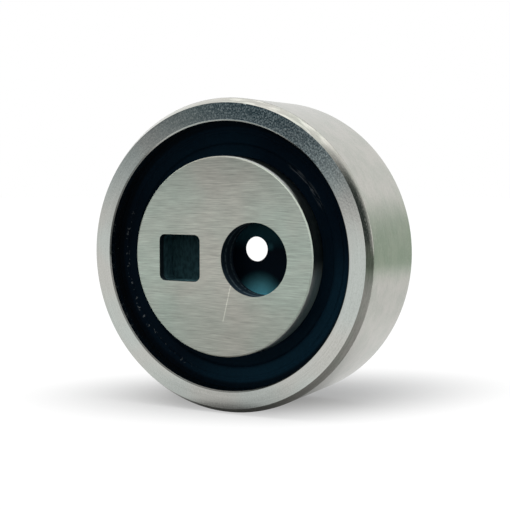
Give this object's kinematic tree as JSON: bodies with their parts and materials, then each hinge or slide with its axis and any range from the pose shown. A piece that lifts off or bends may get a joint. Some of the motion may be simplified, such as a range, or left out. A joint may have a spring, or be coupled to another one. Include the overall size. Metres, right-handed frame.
{
  "type": "timing belt idler bearing",
  "caption": "Steel timing belt idler roller on a sealed ball bearing, with an eccentric hub that has an off-centre mounting bore and a square tensioning socket.",
  "frame": {"origin": "on the spin axis, level with the hub's rear face that the part stands on", "axes": "+Z along the spin axis towards the front face, +X from the square socket to the mounting bore"},
  "size_m": [0.057, 0.057, 0.0231],
  "materials": {
    "roller_steel": "ground",
    "hub_steel": "brushed",
    "seal_rubber": "satin",
    "cage_steel": "pressed",
    "ball_steel": "polished"
  },
  "bodies": {
    "hub": {"eccentric_hub": "hub_steel"},
    "roller": {"outer_ring": "roller_steel", "front_seal": "seal_rubber", "rear_seal": "seal_rubber"},
    "cage": {"cage_front": "cage_steel", "cage_rear": "cage_steel", "cage_rivets": "cage_steel"},
    "ball_01": {"ball_01": "ball_steel"},
    "ball_02": {"ball_02": "ball_steel"},
    "ball_03": {"ball_03": "ball_steel"},
    "ball_04": {"ball_04": "ball_steel"},
    "ball_05": {"ball_05": "ball_steel"},
    "ball_06": {"ball_06": "ball_steel"},
    "ball_07": {"ball_07": "ball_steel"},
    "ball_08": {"ball_08": "ball_steel"},
    "ball_09": {"ball_09": "ball_steel"},
    "ball_10": {"ball_10": "ball_steel"}
  },
  "joints": [
    {"name": "roller_spin", "type": "hinge", "parent": "hub", "child": "roller", "pos_m": [0, 0, 0.01155], "axis": [0, 0, 1], "continuous": true},
    {"name": "cage_spin", "type": "hinge", "parent": "hub", "child": "cage", "pos_m": [0, 0, 0.01155], "axis": [0, 0, 1], "continuous": true},
    {"name": "ball_01_spin", "type": "hinge", "parent": "cage", "child": "ball_01", "pos_m": [0.02054, 0, 0.01155], "axis": [0, 0, 1], "continuous": true},
    {"name": "ball_02_spin", "type": "hinge", "parent": "cage", "child": "ball_02", "pos_m": [0.01662, 0.01207, 0.01155], "axis": [0, 0, 1], "continuous": true},
    {"name": "ball_03_spin", "type": "hinge", "parent": "cage", "child": "ball_03", "pos_m": [0.00635, 0.01953, 0.01155], "axis": [0, 0, 1], "continuous": true},
    {"name": "ball_04_spin", "type": "hinge", "parent": "cage", "child": "ball_04", "pos_m": [-0.00635, 0.01953, 0.01155], "axis": [0, 0, 1], "continuous": true},
    {"name": "ball_05_spin", "type": "hinge", "parent": "cage", "child": "ball_05", "pos_m": [-0.01662, 0.01207, 0.01155], "axis": [0, 0, 1], "continuous": true},
    {"name": "ball_06_spin", "type": "hinge", "parent": "cage", "child": "ball_06", "pos_m": [-0.02054, 0, 0.01155], "axis": [0, 0, 1], "continuous": true},
    {"name": "ball_07_spin", "type": "hinge", "parent": "cage", "child": "ball_07", "pos_m": [-0.01662, -0.01207, 0.01155], "axis": [0, 0, 1], "continuous": true},
    {"name": "ball_08_spin", "type": "hinge", "parent": "cage", "child": "ball_08", "pos_m": [-0.00635, -0.01953, 0.01155], "axis": [0, 0, 1], "continuous": true},
    {"name": "ball_09_spin", "type": "hinge", "parent": "cage", "child": "ball_09", "pos_m": [0.00635, -0.01953, 0.01155], "axis": [0, 0, 1], "continuous": true},
    {"name": "ball_10_spin", "type": "hinge", "parent": "cage", "child": "ball_10", "pos_m": [0.01662, -0.01207, 0.01155], "axis": [0, 0, 1], "continuous": true}
  ],
  "couplings": [
    {"joint": "cage_spin", "follows": "roller_spin", "ratio": 0.58695},
    {"joint": "ball_01_spin", "follows": "roller_spin", "ratio": 2.7882},
    {"joint": "ball_02_spin", "follows": "roller_spin", "ratio": 2.7882},
    {"joint": "ball_03_spin", "follows": "roller_spin", "ratio": 2.7882},
    {"joint": "ball_04_spin", "follows": "roller_spin", "ratio": 2.7882},
    {"joint": "ball_05_spin", "follows": "roller_spin", "ratio": 2.7882},
    {"joint": "ball_06_spin", "follows": "roller_spin", "ratio": 2.7882},
    {"joint": "ball_07_spin", "follows": "roller_spin", "ratio": 2.7882},
    {"joint": "ball_08_spin", "follows": "roller_spin", "ratio": 2.7882},
    {"joint": "ball_09_spin", "follows": "roller_spin", "ratio": 2.7882},
    {"joint": "ball_10_spin", "follows": "roller_spin", "ratio": 2.7882}
  ]
}
